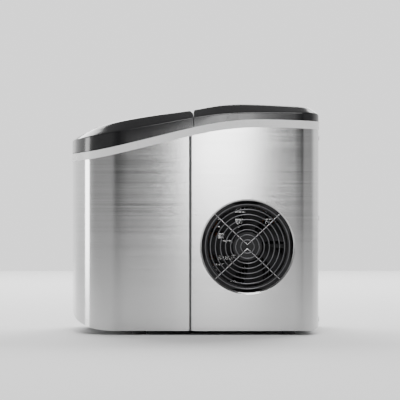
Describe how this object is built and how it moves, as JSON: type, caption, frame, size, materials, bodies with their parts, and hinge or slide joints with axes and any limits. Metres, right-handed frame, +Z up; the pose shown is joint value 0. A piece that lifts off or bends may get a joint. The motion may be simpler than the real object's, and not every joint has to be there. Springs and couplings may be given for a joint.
{
  "type": "countertop ice maker",
  "caption": "Countertop ice maker: brushed steel body with a round side vent, sloping black top with a hinged lid, lift-out ice basket, tilting water tray and cooling system.",
  "frame": {"origin": "centre of the footprint, on the surface that the feet stand on", "axes": "+Z up, the front faces -Y, the fan vent is on the +X side"},
  "size_m": [0.242, 0.358, 0.3271],
  "materials": {
    "steel": "satin, horizontal brushing",
    "white_trim": "smooth satin",
    "black_top": "high gloss",
    "panel": "gloss",
    "button": "satin",
    "lens": "translucent",
    "board": "lacquered board",
    "smoked_window": "smoked clear",
    "white_liner": "smooth",
    "clear_basket": "translucent white",
    "foam": "closed-cell foam",
    "nickel_tube": "nickel-plated copper",
    "black_plastic": "fine texture",
    "hose": "silicone",
    "zinc_sheet": "zinc-plated sheet",
    "black_enamel": "black enamel",
    "rubber": "matte",
    "fin_aluminium": "mill finish",
    "chrome_wire": "plated wire",
    "screw_steel": "plated",
    "copper_tube": "bare copper",
    "brass_valve": "machined"
  },
  "bodies": {
    "cabinet": {"base_tray": "black_plastic", "front_wrap": "steel", "rear_wrap": "steel", "trim_frame": "white_trim", "rear_housing": "black_top", "control_panel": "panel", "indicator_lenses": "lens", "display_board": "board", "inner_liner": "white_liner", "foam_jacket": "foam", "evaporator": "nickel_tube", "tray_motor": "black_plastic", "ice_ramp": "white_liner", "water_pump": "black_plastic", "water_hose": "hose", "divider_panel": "zinc_sheet", "compressor": "black_enamel", "compressor_grommets": "rubber", "condenser": "fin_aluminium", "fan_shroud": "zinc_sheet", "fan_frame": "black_plastic", "fan_motor": "zinc_sheet", "fan_guard": "chrome_wire", "guard_screws": "screw_steel", "discharge_line": "copper_tube", "hot_gas_valve": "brass_valve", "hot_gas_line": "copper_tube", "suction_line": "copper_tube", "liquid_line": "copper_tube", "filter_drier": "copper_tube", "capillary_line": "copper_tube", "board_bracket": "zinc_sheet", "main_board": "board", "cord_bushing": "black_plastic", "drain_fitting": "white_liner", "rear_screws": "screw_steel", "foot_front_left": "rubber", "foot_front_right": "rubber", "foot_rear_left": "rubber", "foot_rear_right": "rubber", "hinge_bracket_left": "black_plastic", "hinge_bracket_right": "black_plastic", "hinge_pin_left": "screw_steel", "hinge_pin_right": "screw_steel", "tray_carrier_left": "white_liner", "tray_carrier_right": "white_liner", "ice_sensor_left": "black_plastic", "ice_sensor_right": "black_plastic"},
    "lid": {"lid_frame": "black_top", "lid_window": "smoked_window"},
    "basket": {"ice_basket": "clear_basket"},
    "tray": {"water_tray": "white_liner"},
    "shovel": {"ice_shovel": "white_liner"},
    "fan": {"fan_rotor": "black_plastic"},
    "power_button": {"button_power": "button"},
    "select_button": {"button_select": "button"},
    "drain_plug": {"drain_cap": "black_plastic"}
  },
  "joints": [
    {"name": "lid_hinge", "type": "hinge", "parent": "cabinet", "child": "lid", "pos_m": [0, -0.008, 0.31094], "axis": [-1, 0, 0], "range_deg": [0, 95]},
    {"name": "basket_lift", "type": "slide", "parent": "cabinet", "child": "basket", "axis": [0, 0, 1], "range_m": [0, 0.09]},
    {"name": "tray_tilt", "type": "hinge", "parent": "cabinet", "child": "tray", "pos_m": [0, -0.052, 0.252], "axis": [1, 0, 0], "range_deg": [0, 60]},
    {"name": "shovel_push", "type": "slide", "parent": "cabinet", "child": "shovel", "axis": [0, -1, 0], "range_m": [0, 0.0462]},
    {"name": "fan_spin", "type": "hinge", "parent": "cabinet", "child": "fan", "pos_m": [0.09, 0.076, 0.125], "axis": [1, 0, 0], "continuous": true},
    {"name": "power_press", "type": "slide", "parent": "cabinet", "child": "power_button", "axis": [0, 0.1349, -0.9909], "range_m": [0, 0.0008], "stiffness_N_per_m": 300},
    {"name": "select_press", "type": "slide", "parent": "cabinet", "child": "select_button", "axis": [0, 0.1349, -0.9909], "range_m": [0, 0.0008], "stiffness_N_per_m": 300},
    {"name": "drain_turn", "type": "hinge", "parent": "cabinet", "child": "drain_plug", "pos_m": [0, -0.109, 0.01], "axis": [0, 0, -1], "range_deg": [0, 90]}
  ],
  "couplings": [
    {"joint": "shovel_push", "follows": "tray_tilt", "m_per_rad": 0.044074}
  ]
}
